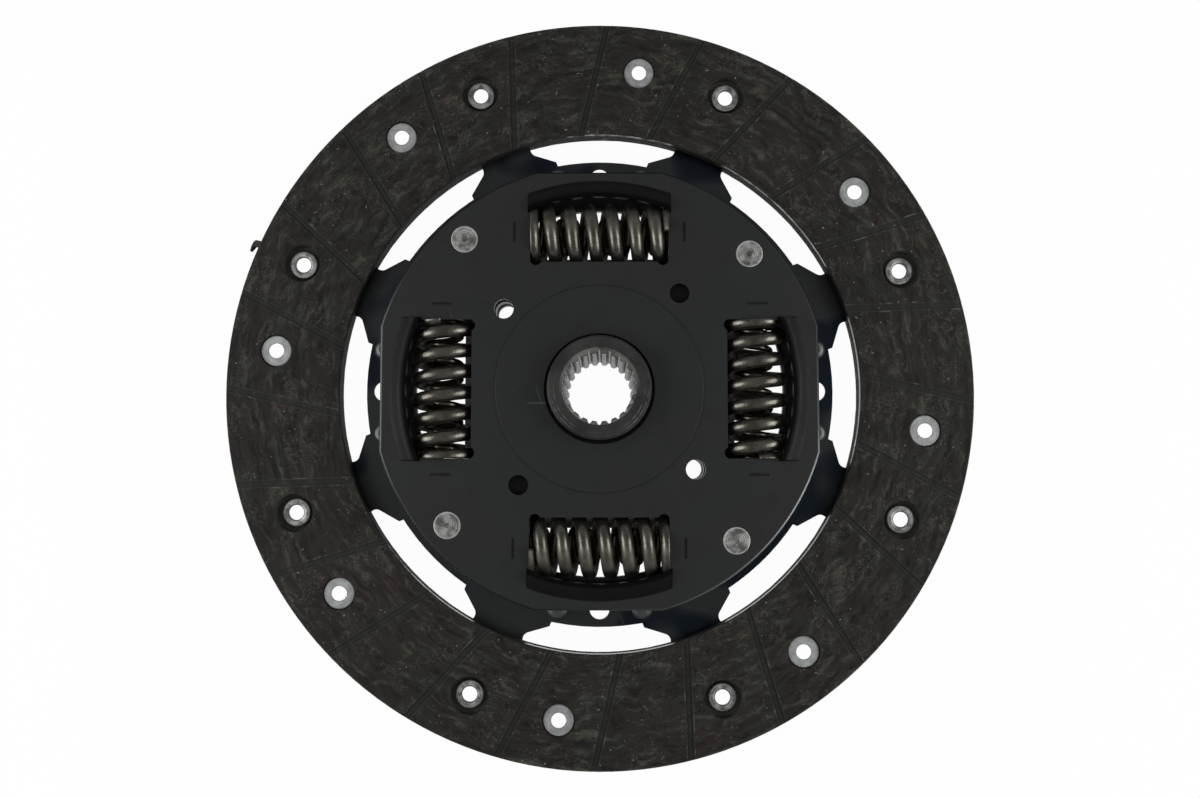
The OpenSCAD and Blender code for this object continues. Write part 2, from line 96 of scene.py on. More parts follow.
# One material being built, node by node
class Finish:
    def __init__(self, name):
        self.material = bpy.data.materials.new(name)
        self.material.use_nodes = True
        self.tree = self.material.node_tree
        self.tree.nodes.clear()

    # Settings are set first, then each socket gets a value or a link; stops fill a colour ramp
    def node(self, kind, settings=None, sockets=None, out=0):
        made = self.tree.nodes.new(kind)
        for key, value in (settings or {}).items():
            if key == "stops":
                ramp = made.color_ramp.elements
                ends = (value[0], value[-1])
                for element, (place, colour) in zip((ramp[0], ramp[1]), ends):
                    element.position = place
                    element.color = (*colour, 1)
                for place, colour in value[1:-1]:
                    ramp.new(place).color = (*colour, 1)
            else:
                setattr(made, key, value)
        for key, value in (sockets or {}).items():
            socket = made.inputs[key]
            if isinstance(value, Wire):
                self.tree.links.new(value.socket, socket)
            elif socket.type == "RGBA":
                socket.default_value = (*value, 1)
            else:
                socket.default_value = value
        return Wire(self, made.outputs[out])

    def place(self):
        return self.node("ShaderNodeTexCoord", out="Object")

    def split(self, vector):
        made = self.node("ShaderNodeSeparateXYZ", sockets={"Vector": vector})
        return [Wire(self, socket) for socket in made.socket.node.outputs]

    def join(self, x, y, z):
        return self.node("ShaderNodeCombineXYZ", sockets={"X": x, "Y": y, "Z": z})

    def noise(self, vector, scale, detail=2.0, roughness=0.5, distortion=0.0):
        return self.node("ShaderNodeTexNoise", sockets={
            "Vector": vector, "Scale": scale, "Detail": detail,
            "Roughness": roughness, "Distortion": distortion})

    # 0 below low, 1 above high, smooth between; high may be the smaller one
    def mask(self, value, low, high):
        return self.node("ShaderNodeMapRange", {"interpolation_type": "SMOOTHSTEP"},
                         {"Value": value, "From Min": low, "From Max": high})

    def ramp(self, value, stops):
        return self.node("ShaderNodeValToRGB", {"stops": stops}, {"Fac": value})

    def mix(self, share, first, second, way="MIX"):
        return self.node("ShaderNodeMix", {"data_type": "RGBA", "blend_type": way},
                         {0: share, 6: first, 7: second}, out=2)

    def bump(self, height, strength, depth):
        return self.node("ShaderNodeBump", sockets={
            "Height": height, "Strength": strength, "Distance": depth})

    def surface(self, shader):
        output = self.tree.nodes.new("ShaderNodeOutputMaterial")
        self.tree.links.new(shader.socket, output.inputs["Surface"])
        return self.material

    def close(self, sockets):
        return self.surface(self.node("ShaderNodeBsdfPrincipled", sockets=sockets))


# Radius and angle about the disc's axis
def polar(x, y):
    return (x * x + y * y) ** 0.5, y.maths("ARCTAN2", x)


# Outward and sideways distance within the nearest of the four window sides
def squarely(x, y):
    return abs(x).maths("MAXIMUM", abs(y)), abs(x).maths("MINIMUM", abs(y))


# Grey that follows the angle round the axis, from stops of (degrees, share)
def byAngle(f, angle, stops):
    share = angle * (0.5 / math.pi) + 0.5
    return f.ramp(share, [((place + 180) / 360, (value, value, value)) for place, value in stops])


# Distance from the nearest of count points that stand round the axis on one circle
def spotDistance(r, angle, count, start, circle):
    half = math.pi / count
    turn = (angle - math.radians(start)).maths("WRAP", half, -half)
    along = r * turn.maths("COSINE") - circle
    across = r * turn.maths("SINE")
    return (along * along + across * across) ** 0.5


def toned(colour, factor):
    return tuple(min(1, factor * c) for c in colour)


def dress(names, material):
    for name in names:
        for slot in nodes[name].material_slots:
            slot.material = material


# A mesh of its own, linked into the scene; smooth says which faces are shaded round
def addPiece(name, points, faces, smooth, material):
    mesh = bpy.data.meshes.new(name)
    mesh.from_pydata(points.tolist(), [], faces)
    mesh.polygons.foreach_set("use_smooth", smooth)
    mesh.materials.append(material)
    mesh.update()
    piece = bpy.data.objects.new(name, mesh)
    bpy.context.scene.collection.objects.link(piece)
    return piece


# A camera or a lamp at a place, looking at its aim with +Y upwards in its view
def addAimed(name, data, place, aim):
    forward = (Vector(aim) - place).normalized()
    right = forward.cross(Vector((0, 1, 0))).normalized()
    up = right.cross(forward)
    holder = bpy.data.objects.new(name, data)
    holder.matrix_world = Matrix.Translation(place) @ Matrix((right, up, -forward)).transposed().to_4x4()
    bpy.context.scene.collection.objects.link(holder)
    return holder


# Camera: nearly straight down on the front face, leaning to the bottom of the picture
viewSpec = {"distance": 280 * mm, "leanX": 0.29, "leanY": -4.02, "aim": (0.14 * mm, -2.28 * mm, 22 * mm),
            "lens": 31.44, "sensor": 36, "nearest": 0.02}


def placeCamera(spec):
    camera = bpy.data.cameras.new("camera")
    camera.lens = spec["lens"]
    camera.sensor_width = spec["sensor"]
    camera.sensor_fit = "HORIZONTAL"
    camera.clip_start = spec["nearest"]
    sx = math.sin(math.radians(spec["leanX"]))
    sy = math.sin(math.radians(spec["leanY"]))
    lean = Vector((sx, sy, math.sqrt(1 - sx * sx - sy * sy)))
    place = lean * spec["distance"] + Vector((0, 0, spec["aim"][2]))
    bpy.context.scene.camera = addAimed("camera", camera, place, spec["aim"])


# Light: one soft box on each side of the disc, and a weak even world
lightSpec = {"power": 2.0, "width": 0.30, "height": 0.45, "distance": 0.55, "offAxis": 57, "lean": -0.03,
             "aim": (0, 0, 0.02), "world": 0.34}


def placeLights(spec):
    off = math.radians(spec["offAxis"])
    for name, side in (("softbox right", 1), ("softbox left", -1)):
        lamp = bpy.data.lights.new(name, "AREA")
        lamp.shape = "RECTANGLE"
        lamp.size = spec["width"]
        lamp.size_y = spec["height"]
        lamp.energy = spec["power"]
        place = Vector((side * math.sin(off), 0, math.cos(off))) * spec["distance"]
        place = place + Vector((0, spec["lean"], 0))
        addAimed(name, lamp, place, spec["aim"])


# White to the camera, weaker as light: strength = share + (1 - share) * is camera ray
def makeWorld(share):
    world = bpy.data.worlds.new("world")
    world.use_nodes = True
    tree = world.node_tree
    path = tree.nodes.new("ShaderNodeLightPath")
    strength = tree.nodes.new("ShaderNodeMath")
    strength.operation = "MULTIPLY_ADD"
    strength.inputs[1].default_value = 1 - share
    strength.inputs[2].default_value = share
    back = tree.nodes["Background"]
    back.inputs["Color"].default_value = (1, 1, 1, 1)
    tree.links.new(path.outputs["Is Camera Ray"], strength.inputs[0])
    tree.links.new(strength.outputs[0], back.inputs["Strength"])
    bpy.context.scene.world = world


# Floor: pale and plain, white to the camera and in reflections, and faintly darker in the disc's shadow
floorSpec = {"half": 1.5, "colour": (0.8, 0.8, 0.8), "white": 1.0, "keepShadow": 0.03}


def makeFloor(spec):
    f = Finish("pale floor")
    outs = f.node("ShaderNodeLightPath").socket.node.outputs
    seen = Wire(f, outs["Is Camera Ray"]) + Wire(f, outs["Is Glossy Ray"])
    seen = seen + Wire(f, outs["Is Transmission Ray"])
    share = seen.maths("MINIMUM", 1.0) * (1 - spec["keepShadow"])
    matte = f.node("ShaderNodeBsdfDiffuse", sockets={"Color": spec["colour"]})
    glow = f.node("ShaderNodeEmission", sockets={"Color": (1, 1, 1), "Strength": spec["white"]})
    finish = f.surface(f.node("ShaderNodeMixShader", sockets={0: share, 1: matte, 2: glow}))
    corners = np.array([(-1, -1, 0), (1, -1, 0), (1, 1, 0), (-1, 1, 0)]) * spec["half"]
    floor = addPiece("floor", corners, [(0, 1, 2, 3)], np.zeros(1, bool), finish)


placeCamera(viewSpec)
placeLights(lightSpec)
makeWorld(lightSpec["world"])
makeFloor(floorSpec)
print("camera, lights and floor placed")


# Friction lining: yarn wound round the ring and pressed in resin, seen as short wavy streaks along the ring.
# Noises are scale, detail, roughness and distortion; openHalf is half a window's opening in radians,
# and ground says in degrees and shares where the painted highlight on the inner edge is bright
liningSpec = {
    "dark": (0.0022, 0.0020, 0.0018), "brown": (0.0118, 0.0088, 0.0076), "olive": (0.0106, 0.0108, 0.0080),
    "light": (0.040, 0.039, 0.033), "thread": (0.095, 0.092, 0.080), "dust": (0.20, 0.195, 0.175),
    "groove": (0.0112, 0.0128, 0.0115), "cut": (0.72, 0.72, 0.70), "rough": 0.80,
    "tints": ((0.38, (0.90, 0.97, 0.90)), (0.48, (1.00, 0.97, 0.86)),
              (0.56, (0.96, 0.92, 0.90)), (0.66, (1.22, 0.94, 0.97))),
    "sway": (78, 2, 0.5), "curl": (110, 2, 0.5), "fine": (520, 2, 0.6), "strands": 560,
    "yarn": (1.0, 3, 0.64, 0.4), "yarnRound": 12, "weft": (1.0, 3, 0.62, 0.4), "weftRound": 30,
    "middle": 17.95 * mm, "face": 4.05 * mm, "inner": 69.5 * mm, "rim": 99.2 * mm,
    "grooveTurn": 92, "grooveOffset": 20.7 * mm, "grooveShift": -1.05 * mm, "grooveHalf": 0.9 * mm,
    "grooveCount": 24, "cutFrom": 20.8 * mm, "windows": 8, "openHalf": 0.270,
    "ground": ((-180, 0.02), (-152, 0.05), (-135, 0.50), (-90, 0.95), (-30, 0.95),
               (8, 0.85), (45, 0.38), (92, 0.26), (112, 0.05), (180, 0.02))}
# The rear lining is the front one turned over, about a line at half of mirror, which is in degrees
rearLiningSpec = dict(liningSpec, inner=70.3 * mm, cutFrom=15 * mm, mirror=14.8,
                      ground=tuple((place, 0.35 * share) for place, share in liningSpec["ground"]))


# Distance from the middle line of the nearest groove; these lines all pass the shifted centre at one offset
def grooveDistance(spec, r, angle):
    local = math.radians(spec["mirror"]) - angle if "mirror" in spec else angle
    reach, bearing = polar(r * local.maths("COSINE"), r * local.maths("SINE") - spec["grooveShift"])
    lean = (spec["grooveOffset"] / reach).maths("ARCCOSINE")
    half = math.pi / spec["grooveCount"]
    wrapped = (bearing - math.radians(spec["grooveTurn"]) + lean).maths("WRAP", half, -half)
    return abs(wrapped * (reach * reach - spec["grooveOffset"] ** 2) ** 0.5)


def liningFinish(spec, name):
    f = Finish(name)
    place = f.place()
    x, y, z = f.split(place)
    r, angle = polar(x, y)
    # The yarn runs round the ring, wanders across it and curls
    sway = f.noise(place, *spec["sway"]) - 0.5
    curl = f.noise(f.join(x + 0.3, y - 0.2, z), *spec["curl"]) - 0.5
    fine = f.noise(place, *spec["fine"]) - 0.5
    band = (r + z * 0.7) * spec["strands"] + sway * 3.6 + fine * 1.1
    overX, overY = x / r * spec["yarnRound"], y / r * spec["yarnRound"]
    yarn = f.noise(f.join(band, overX + curl * 1.8, overY - curl * 1.8), *spec["yarn"])
    underX, underY = x / r * spec["weftRound"], y / r * spec["weftRound"]
    weft = f.noise(f.join(band * 1.7 + fine * 1.6 + 7, underX - curl * 3, underY + sway * 2), *spec["weft"])
    body = f.ramp(yarn, [(0.35, spec["dark"]), (0.46, spec["brown"]),
                         (0.56, spec["olive"]), (0.71, spec["light"])])
    body = f.mix(1.0, body, f.ramp(f.noise(place, 62, 3, 0.6, 0.8), spec["tints"]), "MULTIPLY")
    # Thin pale threads and thin dark creases between the strands
    thread = f.mask(abs(weft - 0.5), 0.030, 0.006) * f.mask(f.noise(place, 150, 2, 0.6), 0.47, 0.62)
    crease = f.mask(abs(yarn - 0.47), 0.020, 0.003) * f.mask(f.noise(place, 120, 2, 0.6), 0.42, 0.58)
    body = f.mix(crease * 0.75, body, spec["dark"])
    body = f.mix(thread * 0.42, body, spec["thread"])
    body = f.mix(f.mask(weft, 0.40, 0.28) * 0.6, body, spec["dark"])
    depth = abs(z - spec["middle"])
    onFace = f.mask(depth, spec["face"] - 0.25 * mm, spec["face"] - 0.08 * mm)
    # Grooves have a slightly ragged edge; painted shade gives their floor a plain darker colour
    fromGroove = grooveDistance(spec, r, angle)
    inGroove = f.mask(fromGroove + fine * mm, spec["grooveHalf"] + 0.50 * mm, spec["grooveHalf"] - 0.35 * mm)
    body = f.mix(inGroove * 0.66, body, spec["groove"])
    # Painted light lifts the shade on the walls of grooves, rivet holes and rims
    side = f.mask(abs(fromGroove - spec["grooveHalf"]), 0.14 * mm, 0.08 * mm)
    sunk = f.mask(depth, spec["face"] - 0.05 * mm, spec["face"] - 0.2 * mm) * (1 - inGroove)
    body = f.mix(side.maths("MAXIMUM", sunk) * 0.55, body, spec["light"])
    # Broken light lips along the grooves
    lip = f.mask(abs(fromGroove - spec["grooveHalf"] - 0.15 * mm), 0.30 * mm, 0.06 * mm)
    broken = f.mask(f.noise(place, 260, 2, 0.6), 0.57, 0.68)
    body = f.mix(lip * broken * onFace * 0.6, body, spec["thread"])
    # Loose light specks, and dust on the outer rim
    speck = f.mask(f.noise(place, 1150, 1, 0.4), 0.745, 0.80)
    body = f.mix(speck * 0.65, body, spec["dust"])
    dusty = f.mask(r, spec["rim"], spec["rim"] + 0.7 * mm) * f.mask(f.noise(place, 210, 3, 0.6), 0.50, 0.70)
    body = f.mix(dusty * 0.22, body, spec["dust"])
    # The inner edge is dark, and carries a painted highlight beside the windows on part of its way round,
    # with ground setting its strength
    wall = f.mask(r, spec["inner"] + 0.20 * mm, spec["inner"] + 0.06 * mm)
    upper = f.mask(z, spec["cutFrom"], spec["cutFrom"] + 0.3 * mm)
    half = math.pi / spec["windows"]
    window = f.mask(abs(angle.maths("WRAP", half, -half)), spec["openHalf"] + 0.025, spec["openHalf"])
    ground = byAngle(f, angle, spec["ground"]) + (f.noise(place, 330, 3, 0.65) - 0.5) * 0.9
    body = f.mix(wall * 0.75, body, spec["dark"])
    body = f.mix(wall * upper * window * f.mask(ground, 0.12, 0.62), body, spec["cut"])
    height = yarn * 0.7 + weft * 0.4 + speck * 0.2 + thread * 0.15 - crease * 0.15
    return f.close({"Base Color": body, "Roughness": yarn * -0.25 + (spec["rough"] + 0.12),
                    "Specular IOR Level": 0.30, "Normal": f.bump(height, 0.55, 0.40 * mm)})


dress(["front_facing"], liningFinish(liningSpec, "front friction lining"))
dress(["rear_facing"], liningFinish(rearLiningSpec, "rear friction lining"))
print("friction linings dressed")

# Pressed sheet: blackened and oiled, or blued, with a fine grain, soft stains and a few scratches
sheetSpec = {"stains": (34, 4, 0.55, 0.6), "stainFrom": 0.40,
             "scratches": ((0.35, 3.1), (1.6, 8.4), (2.5, 15.2)), "holes": 4, "holeCircle": 58.4 * mm}
plateSpec = dict(
    sheetSpec, base=(0.0126, 0.0146, 0.0140), stain=(0.0164, 0.0164, 0.0166), bare=(0.20, 0.20, 0.19),
    rough=0.44, metal=0.35, grain=0.10,
    creaseAt=22.4 * mm, creaseWide=1.7 * mm, creaseMiddle=41.3 * mm, creaseHalf=2.5 * mm,
    creaseShade=(0.0115, 0.0120, 0.0115), radius=59.6 * mm, flat=57.3 * mm, top=29 * mm,
    edge=(0.36, 0.38, 0.38), edgeShade=(0.010, 0.011, 0.011), edgeWide=0.62 * mm, edgeHigh=0.75 * mm,
    hoodFrom=50.2 * mm, crownTo=52.0 * mm, hoodTo=54.6 * mm, hoodHalf=18.8 * mm,
    crownShade=(0.0060, 0.0062, 0.0061), slope=(0.0165, 0.0164, 0.0166),
    rim=((-180, 0.30), (-165, 0.30), (-150, 0.04), (-105, 0.02), (-75, 0.18), (-50, 0.50), (-32, 1.0),
         (-20, 0.8), (-11, 0.20), (12, 0.01), (150, 0.01), (165, 0.35), (180, 0.30)))
rearPlateSpec = dict(
    plateSpec, base=(0.0130, 0.0145, 0.0140), radius=62.3 * mm, flat=62.3 * mm, top=17.2 * mm,
    rim=((-180, 0.1), (180, 0.1)), hole=2.6 * mm,
    under=(0.070, 0.070, 0.066), underFrom=50.2 * mm, underTo=55 * mm, underHalf=18.4 * mm)
carrierSpec = dict(
    sheetSpec, base=(0.0128, 0.0144, 0.0142), stain=(0.0150, 0.0205, 0.0275), bare=(0.16, 0.17, 0.17),
    stains=(30, 2, 0.5), stainFrom=0.50, blued=True, rough=0.40, metal=0.40, grain=0.08,
    far=(0.085, 0.085, 0.072), farFrom=70 * mm, farFull=76 * mm, hole=2.6 * mm)


def sheetFinish(spec, name):
    f = Finish(name)
    place = f.place()
    x, y, z = f.split(place)
    r, angle = polar(x, y)
    outward, sideways = squarely(x, y)
    stain = f.mask(f.noise(place, *spec["stains"]), spec["stainFrom"], 0.62)
    grain = f.noise(place, 1300, 3, 0.65)
    mottle = f.noise(place, 160, 3, 0.6)
    body = f.mix(stain * 0.9, spec["base"], spec["stain"])
    body = f.mix(f.mask(grain, 0.58, 0.80) * 0.30, body, spec["stain"])
    body = f.mix(f.mask(mottle, 0.45, 0.30) * 0.25, body, toned(spec["base"], 0.7))
    dull = 0.0
    bare = 0.0
    if "far" in spec:
        # Dusty grey and dry between the linings, and painted lighter there to lift the shade that falls
        # between them
        dull = f.mask(r, spec["farFrom"], spec["farFull"])
        body = f.mix(dull, body, spec["far"])
    if "creaseAt" in spec:
        # Painted shade: a darker strip beside each pressed crease, fading towards the window
        inside = spec["creaseAt"] - sideways
        strip = f.mask(inside, spec["creaseWide"], -0.1 * mm) * f.mask(inside, -0.45 * mm, -0.2 * mm)
        fromMiddle = abs(outward - spec["creaseMiddle"])
        strip = strip * f.mask(fromMiddle, spec["creaseHalf"] + 0.4 * mm, spec["creaseHalf"])
        body = f.mix(strip, body, spec["creaseShade"])
        # The rolled edge has painted shade, and a painted highlight on part of its way round
        over = (outward - spec["flat"]).maths("MAXIMUM", r - spec["radius"])
        rolled = f.mask(over, -spec["edgeWide"], 0.32 * mm - spec["edgeWide"])
        below = spec["top"] - spec["edgeHigh"]
        rolled = rolled * f.mask(z, below, below + 0.3 * mm)
        body = f.mix(rolled, body, spec["edgeShade"])
        body = f.mix(rolled * byAngle(f, angle, spec["rim"]), body, spec["edge"])
        # The hoods are barer steel than the rest, with painted shade on their crowns
        hood = f.mask(r, spec["hoodFrom"] - 0.3 * mm, spec["hoodFrom"])
        hood = hood * f.mask(r, spec["hoodTo"] + 0.9 * mm, spec["hoodTo"])
        hood = hood * f.mask(sideways, spec["hoodHalf"] + 0.2 * mm, spec["hoodHalf"])
        down = f.mask(r, spec["crownTo"] - 1.1 * mm, spec["crownTo"])
        body = f.mix(hood, body, f.mix(down, spec["crownShade"], spec["slope"]))
        bare = rolled.maths("MAXIMUM", hood).maths("MAXIMUM", strip * 0.7)
    if "under" in spec:
        # Painted light on the rear plate's hoods where the front plate's windows leave them open to view,
        # lifting the shade under the front hoods
        under = f.mask(outward, spec["underFrom"] - 0.8 * mm, spec["underFrom"])
        under = under * f.mask(sideways, spec["underHalf"] + 0.5 * mm, spec["underHalf"])
        body = f.mix(under * f.mask(outward, spec["underTo"] + 1 * mm, spec["underTo"]), body, spec["under"])
    # Scratches: thin, nearly straight lines in three directions, broken up by a second noise
    marks = 0.0
    for turn, shift in spec["scratches"]:
        across = x * math.cos(turn) + y * math.sin(turn)
        along = y * math.cos(turn) - x * math.sin(turn)
        line = f.noise(f.join(across * 800, along * 40, z * 20 + shift), 1.0, 1, 0.4)
        marks = f.mask(line, 0.755, 0.790) + marks
    marks = marks * f.mask(f.noise(place, 48, 2, 0.5), 0.54, 0.62)
    body = f.mix(marks * 0.22, body, spec["bare"])
    height = grain * spec["grain"] + mottle * 0.12 - marks * 0.1
    rough = grain * 0.10 + mottle * 0.10 + stain * -0.06 + dull * 0.36 + bare * 0.12 + (spec["rough"] - 0.08)
    metal = (1 - dull) * spec["metal"]
    if "creaseAt" in spec:
        metal = bare.maths("MAXIMUM", metal)
    if "blued" in spec:
        metal = (stain * (1 - dull)).maths("MAXIMUM", metal)
    if "hole" in spec:
        # The sheared walls of the four edge holes mirror the light behind them
        away = spotDistance(r, angle, spec["holes"], 0, spec["holeCircle"])
        wall = f.mask(away, spec["hole"] + 0.10 * mm, spec["hole"] + 0.04 * mm)
        body = f.mix(wall, body, (1, 1, 1))
        rough = rough * (1 - wall) + wall * 0.05
        metal = wall + metal * (1 - wall)
        height = height * (1 - wall)
    return f.close({"Base Color": body, "Roughness": rough, "Metallic": metal,
                    "Normal": f.bump(height, 0.35, 0.25 * mm)})


dress(["front_side_plate"], sheetFinish(plateSpec, "front plate steel"))
dress(["rear_side_plate"], sheetFinish(rearPlateSpec, "rear plate steel"))
dress(["carrier_disc"], sheetFinish(carrierSpec, "blued carrier steel"))

# Turned and upset steel: rings round each rivet or pin, paler where the tool has rubbed
frontRivetSpec = {
    "count": 8, "start": -7.05, "circle": 87.5 * mm, "base": (0.40, 0.41, 0.41), "dark": (0.27, 0.28, 0.28),
    "rough": 0.50, "metal": 0.5, "ringGap": 0.45 * mm, "ringDepth": 0.05, "edge": 4.0 * mm,
    "bore": 1.95 * mm, "throat": 0.10 * mm, "throatShade": (0.06, 0.06, 0.058)}
rearRivetSpec = dict(frontRivetSpec, start=21.85, base=(0.36, 0.36, 0.35), dark=(0.17, 0.168, 0.16),
                     rough=0.36, metal=0.70, ringDepth=0.03, edge=3.4 * mm, throat=0.18 * mm)
pinSpec = {"count": 4, "start": 42, "circle": 53 * mm,
           "base": (0.44, 0.44, 0.43), "dark": (0.125, 0.125, 0.12), "rough": 0.42, "metal": 0.8,
           "ringGap": 0.62 * mm, "ringDepth": 0.35, "edge": 3.3 * mm}
carrierRivetSpec = dict(pinSpec, start=0, base=(0.075, 0.078, 0.078), dark=(0.028, 0.030, 0.031),
                        ringDepth=0.05)


def spotFinish(spec, name):
    f = Finish(name)
    place = f.place()
    x, y = f.split(place)[:2]
    r, angle = polar(x, y)
    away = spotDistance(r, angle, spec["count"], spec["start"], spec["circle"])
    wobble = f.noise(place, 700, 2, 0.5) - 0.5
    ring = (away * (2 * math.pi / spec["ringGap"]) + wobble * 1.5).maths("SINE") * 0.5 + 0.5
    cloud = f.noise(place, 420, 4, 0.6)
    body = f.mix(f.mask(cloud, 0.35, 0.65), spec["dark"], spec["base"])
    body = f.mix(ring * 0.3, body, toned(spec["dark"], 0.6))
    worn = f.mask(away, spec["edge"] - 0.35 * mm, spec["edge"] + 0.1 * mm)
    body = f.mix(worn * 0.6, body, toned(spec["base"], 1.5))
    height = ring * spec["ringDepth"] + cloud * 0.25
    rough = cloud * 0.25 + (spec["rough"] - 0.12)
    metal = spec["metal"]
    if "bore" in spec:
        # The tube is drawn smooth and mirrors the light behind it, inside a ring of painted shade at the
        # throat
        tube = f.mask(away, spec["bore"] + 0.08 * mm, spec["bore"] + 0.03 * mm)
        around = abs(away - spec["bore"] - spec["throat"])
        throat = f.mask(around, spec["throat"] + 0.02 * mm, spec["throat"] - 0.08 * mm)
        body = f.mix(throat * 0.85, body, spec["throatShade"])
        body = f.mix(tube, body, (1, 1, 1))
        rough = (throat * 0.25 + rough) * (1 - tube) + 0.04
        metal = tube * (1 - metal) + metal
        height = height * (1 - tube)
    return f.close({"Base Color": body, "Roughness": rough, "Metallic": metal,
                    "Normal": f.bump(height, 0.5, 0.2 * mm)})


dress(["front_facing_rivets"], spotFinish(frontRivetSpec, "dull rivet steel"))
dress(["rear_facing_rivets"], spotFinish(rearRivetSpec, "bright rivet steel"))
dress(["stop_pin_%d" % i for i in (1, 2, 3, 4)], spotFinish(pinSpec, "turned pin steel"))
dress(["carrier_rivets"], spotFinish(carrierRivetSpec, "carrier rivet steel"))

# Turned round steel and moulded parts: fine rings about the disc's axis
turnedSpec = {"rough": 0.40, "metal": 0.7, "ringGap": 0.35 * mm, "ringDepth": 0.12}
hubSpec = dict(
    turnedSpec, base=(0.054, 0.054, 0.052), dark=(0.030, 0.0305, 0.030), bright=(0.22, 0.22, 0.21),
    brightRadius=10.2 * mm, teeth=9.55 * mm, face=33.6 * mm,
    arcs=12.2 * mm, arcApart=0.42 * mm, arcHalf=0.16 * mm,
    arcSpan=((-180, 0.15), (-165, 0.8), (-140, 1.0), (-118, 0.1), (-60, 0.1),
             (-42, 1.0), (-12, 0.8), (0, 0.0), (180, 0.1)))
washerSpec = dict(turnedSpec, base=(0.20, 0.20, 0.19), dark=(0.10, 0.10, 0.095), pitShade=(0.022, 0.024, 0.023),
                  lugs=27.2 * mm)
discSpringSpec = dict(turnedSpec, base=(0.12, 0.12, 0.12), dark=(0.05, 0.05, 0.052))
ringSpec = dict(turnedSpec, base=(0.055, 0.045, 0.034), dark=(0.03, 0.024, 0.018), rough=0.75, metal=0.0,
                ringDepth=0.05)
bushSpec = dict(turnedSpec, base=(0.46, 0.40, 0.27), dark=(0.34, 0.29, 0.19), rough=0.45, metal=0.0,
                ringDepth=0.04)


def turnedFinish(spec, name):
    f = Finish(name)
    place = f.place()
    x, y, z = f.split(place)
    r, angle = polar(x, y)
    wobble = f.noise(place, 300, 2, 0.5) - 0.5
    ring = ((r + z) * (2 * math.pi / spec["ringGap"]) + wobble * 1.2).maths("SINE") * 0.5 + 0.5
    cloud = f.noise(place, 120, 4, 0.6)
    grain = f.noise(place, 1500, 2, 0.6)
    body = f.mix(f.mask(cloud, 0.34, 0.66), spec["dark"], spec["base"])
    body = f.mix(ring * 0.25, body, spec["dark"])
    if "bright" in spec:
        # Painted highlight: the chamfer shines on its upper half, the teeth all round
        inner = f.mask(r, spec["brightRadius"] + 0.25 * mm, spec["brightRadius"] - 0.1 * mm)
        lit = f.mask(y, -3 * mm, 6 * mm).maths("MAXIMUM", f.mask(r, spec["teeth"] + 0.2 * mm, spec["teeth"]))
        body = f.mix(inner * lit * f.mask(cloud, 0.30, 0.60) * 0.8, body, spec["bright"])
        # Two thin rubbed arcs low on each side of the face, painted brighter as highlights where they catch
        # the light
        fromArc = abs(abs(r - spec["arcs"]) - spec["arcApart"])
        arcs = f.mask(fromArc, spec["arcHalf"], 0.05 * mm) * f.mask(z, spec["face"] - 0.6 * mm, spec["face"])
        arcs = arcs * byAngle(f, angle, spec["arcSpan"]) * f.mask(f.noise(place, 500, 2, 0.6), 0.38, 0.55)
        body = f.mix(arcs * 0.75, body, spec["bright"])
    rough = grain * 0.12 + cloud * 0.14 + (spec["rough"] - 0.12)
    metal = spec["metal"]
    if "pitShade" in spec:
        # Painted shade darkens the lugs at the bottom of the tool holes
        lug = f.mask(r, spec["lugs"] - 0.6 * mm, spec["lugs"])
        body = f.mix(lug, body, spec["pitShade"])
        rough = lug * 0.5 + rough
        metal = lug.maths("MAXIMUM", metal)
    height = ring * spec["ringDepth"] + grain * 0.2 + cloud * 0.2
    return f.close({"Base Color": body, "Roughness": rough, "Metallic": metal,
                    "Normal": f.bump(height, 0.4, 0.2 * mm)})


dress(["hub"], turnedFinish(hubSpec, "turned hub steel"))
dress(["support_washer"], turnedFinish(washerSpec, "washer steel"))
dress(["disc_spring"], turnedFinish(discSpringSpec, "disc spring steel"))
dress(["friction_ring"], turnedFinish(ringSpec, "ring lining"))
dress(["rear_bush"], turnedFinish(bushSpec, "moulded bush"))
print("steel and moulded parts dressed")


# A closed surface from a grid of points, rows along it and columns round it; both ends are closed by a fan
def tubePiece(name, grid, rowLength, material):
    rows, columns = grid.shape[:2]
    points = np.concatenate([grid.reshape(-1, 3), grid[0].mean(0)[None], grid[-1].mean(0)[None]])
    i, j = np.meshgrid(np.arange(rows - 1), np.arange(columns), indexing="ij")
    k = (j + 1) % columns
    lower, upper = i * columns, (i + 1) * columns
    quads = np.stack([lower + j, lower + k, upper + k, upper + j], -1).reshape(-1, 4)
    quadU = np.stack([rowLength[i], rowLength[i], rowLength[i + 1], rowLength[i + 1]], -1).reshape(-1, 4)
    quadV = np.stack([j, j + 1, j + 1, j], -1).reshape(-1, 4) / columns
    c = np.arange(columns)
    d = (c + 1) % columns
    first = np.stack([np.full(columns, rows * columns), d, c], -1)
    final = (rows - 1) * columns
    last = np.stack([np.full(columns, rows * columns + 1), final + c, final + d], -1)
    fans = np.concatenate([first, last])
    # Signed volume says whether the faces point outward
    corners = np.concatenate([quads[:, [0, 1, 2]], quads[:, [0, 2, 3]], fans])
    a, b, e = (points[corners[:, n]] for n in (0, 1, 2))
    if np.einsum("ij,ij->i", a, np.cross(b, e)).sum() < 0:
        quads, quadU, quadV, fans = quads[:, ::-1], quadU[:, ::-1], quadV[:, ::-1], fans[:, ::-1]
    smooth = np.concatenate([np.ones(len(quads), bool), np.zeros(len(fans), bool)])
    piece = addPiece(name, points, quads.tolist() + fans.tolist(), smooth, material)
    fanU = np.repeat([rowLength[0], rowLength[-1]], columns * 3)
    u = np.concatenate([quadU.ravel(), fanU])
    v = np.concatenate([quadV.ravel(), np.zeros(columns * 6)])
    layer = piece.data.uv_layers.new(name="wire")
    layer.data.foreach_set("uv", np.stack([u, v], -1).astype(np.float32).ravel())
    return piece


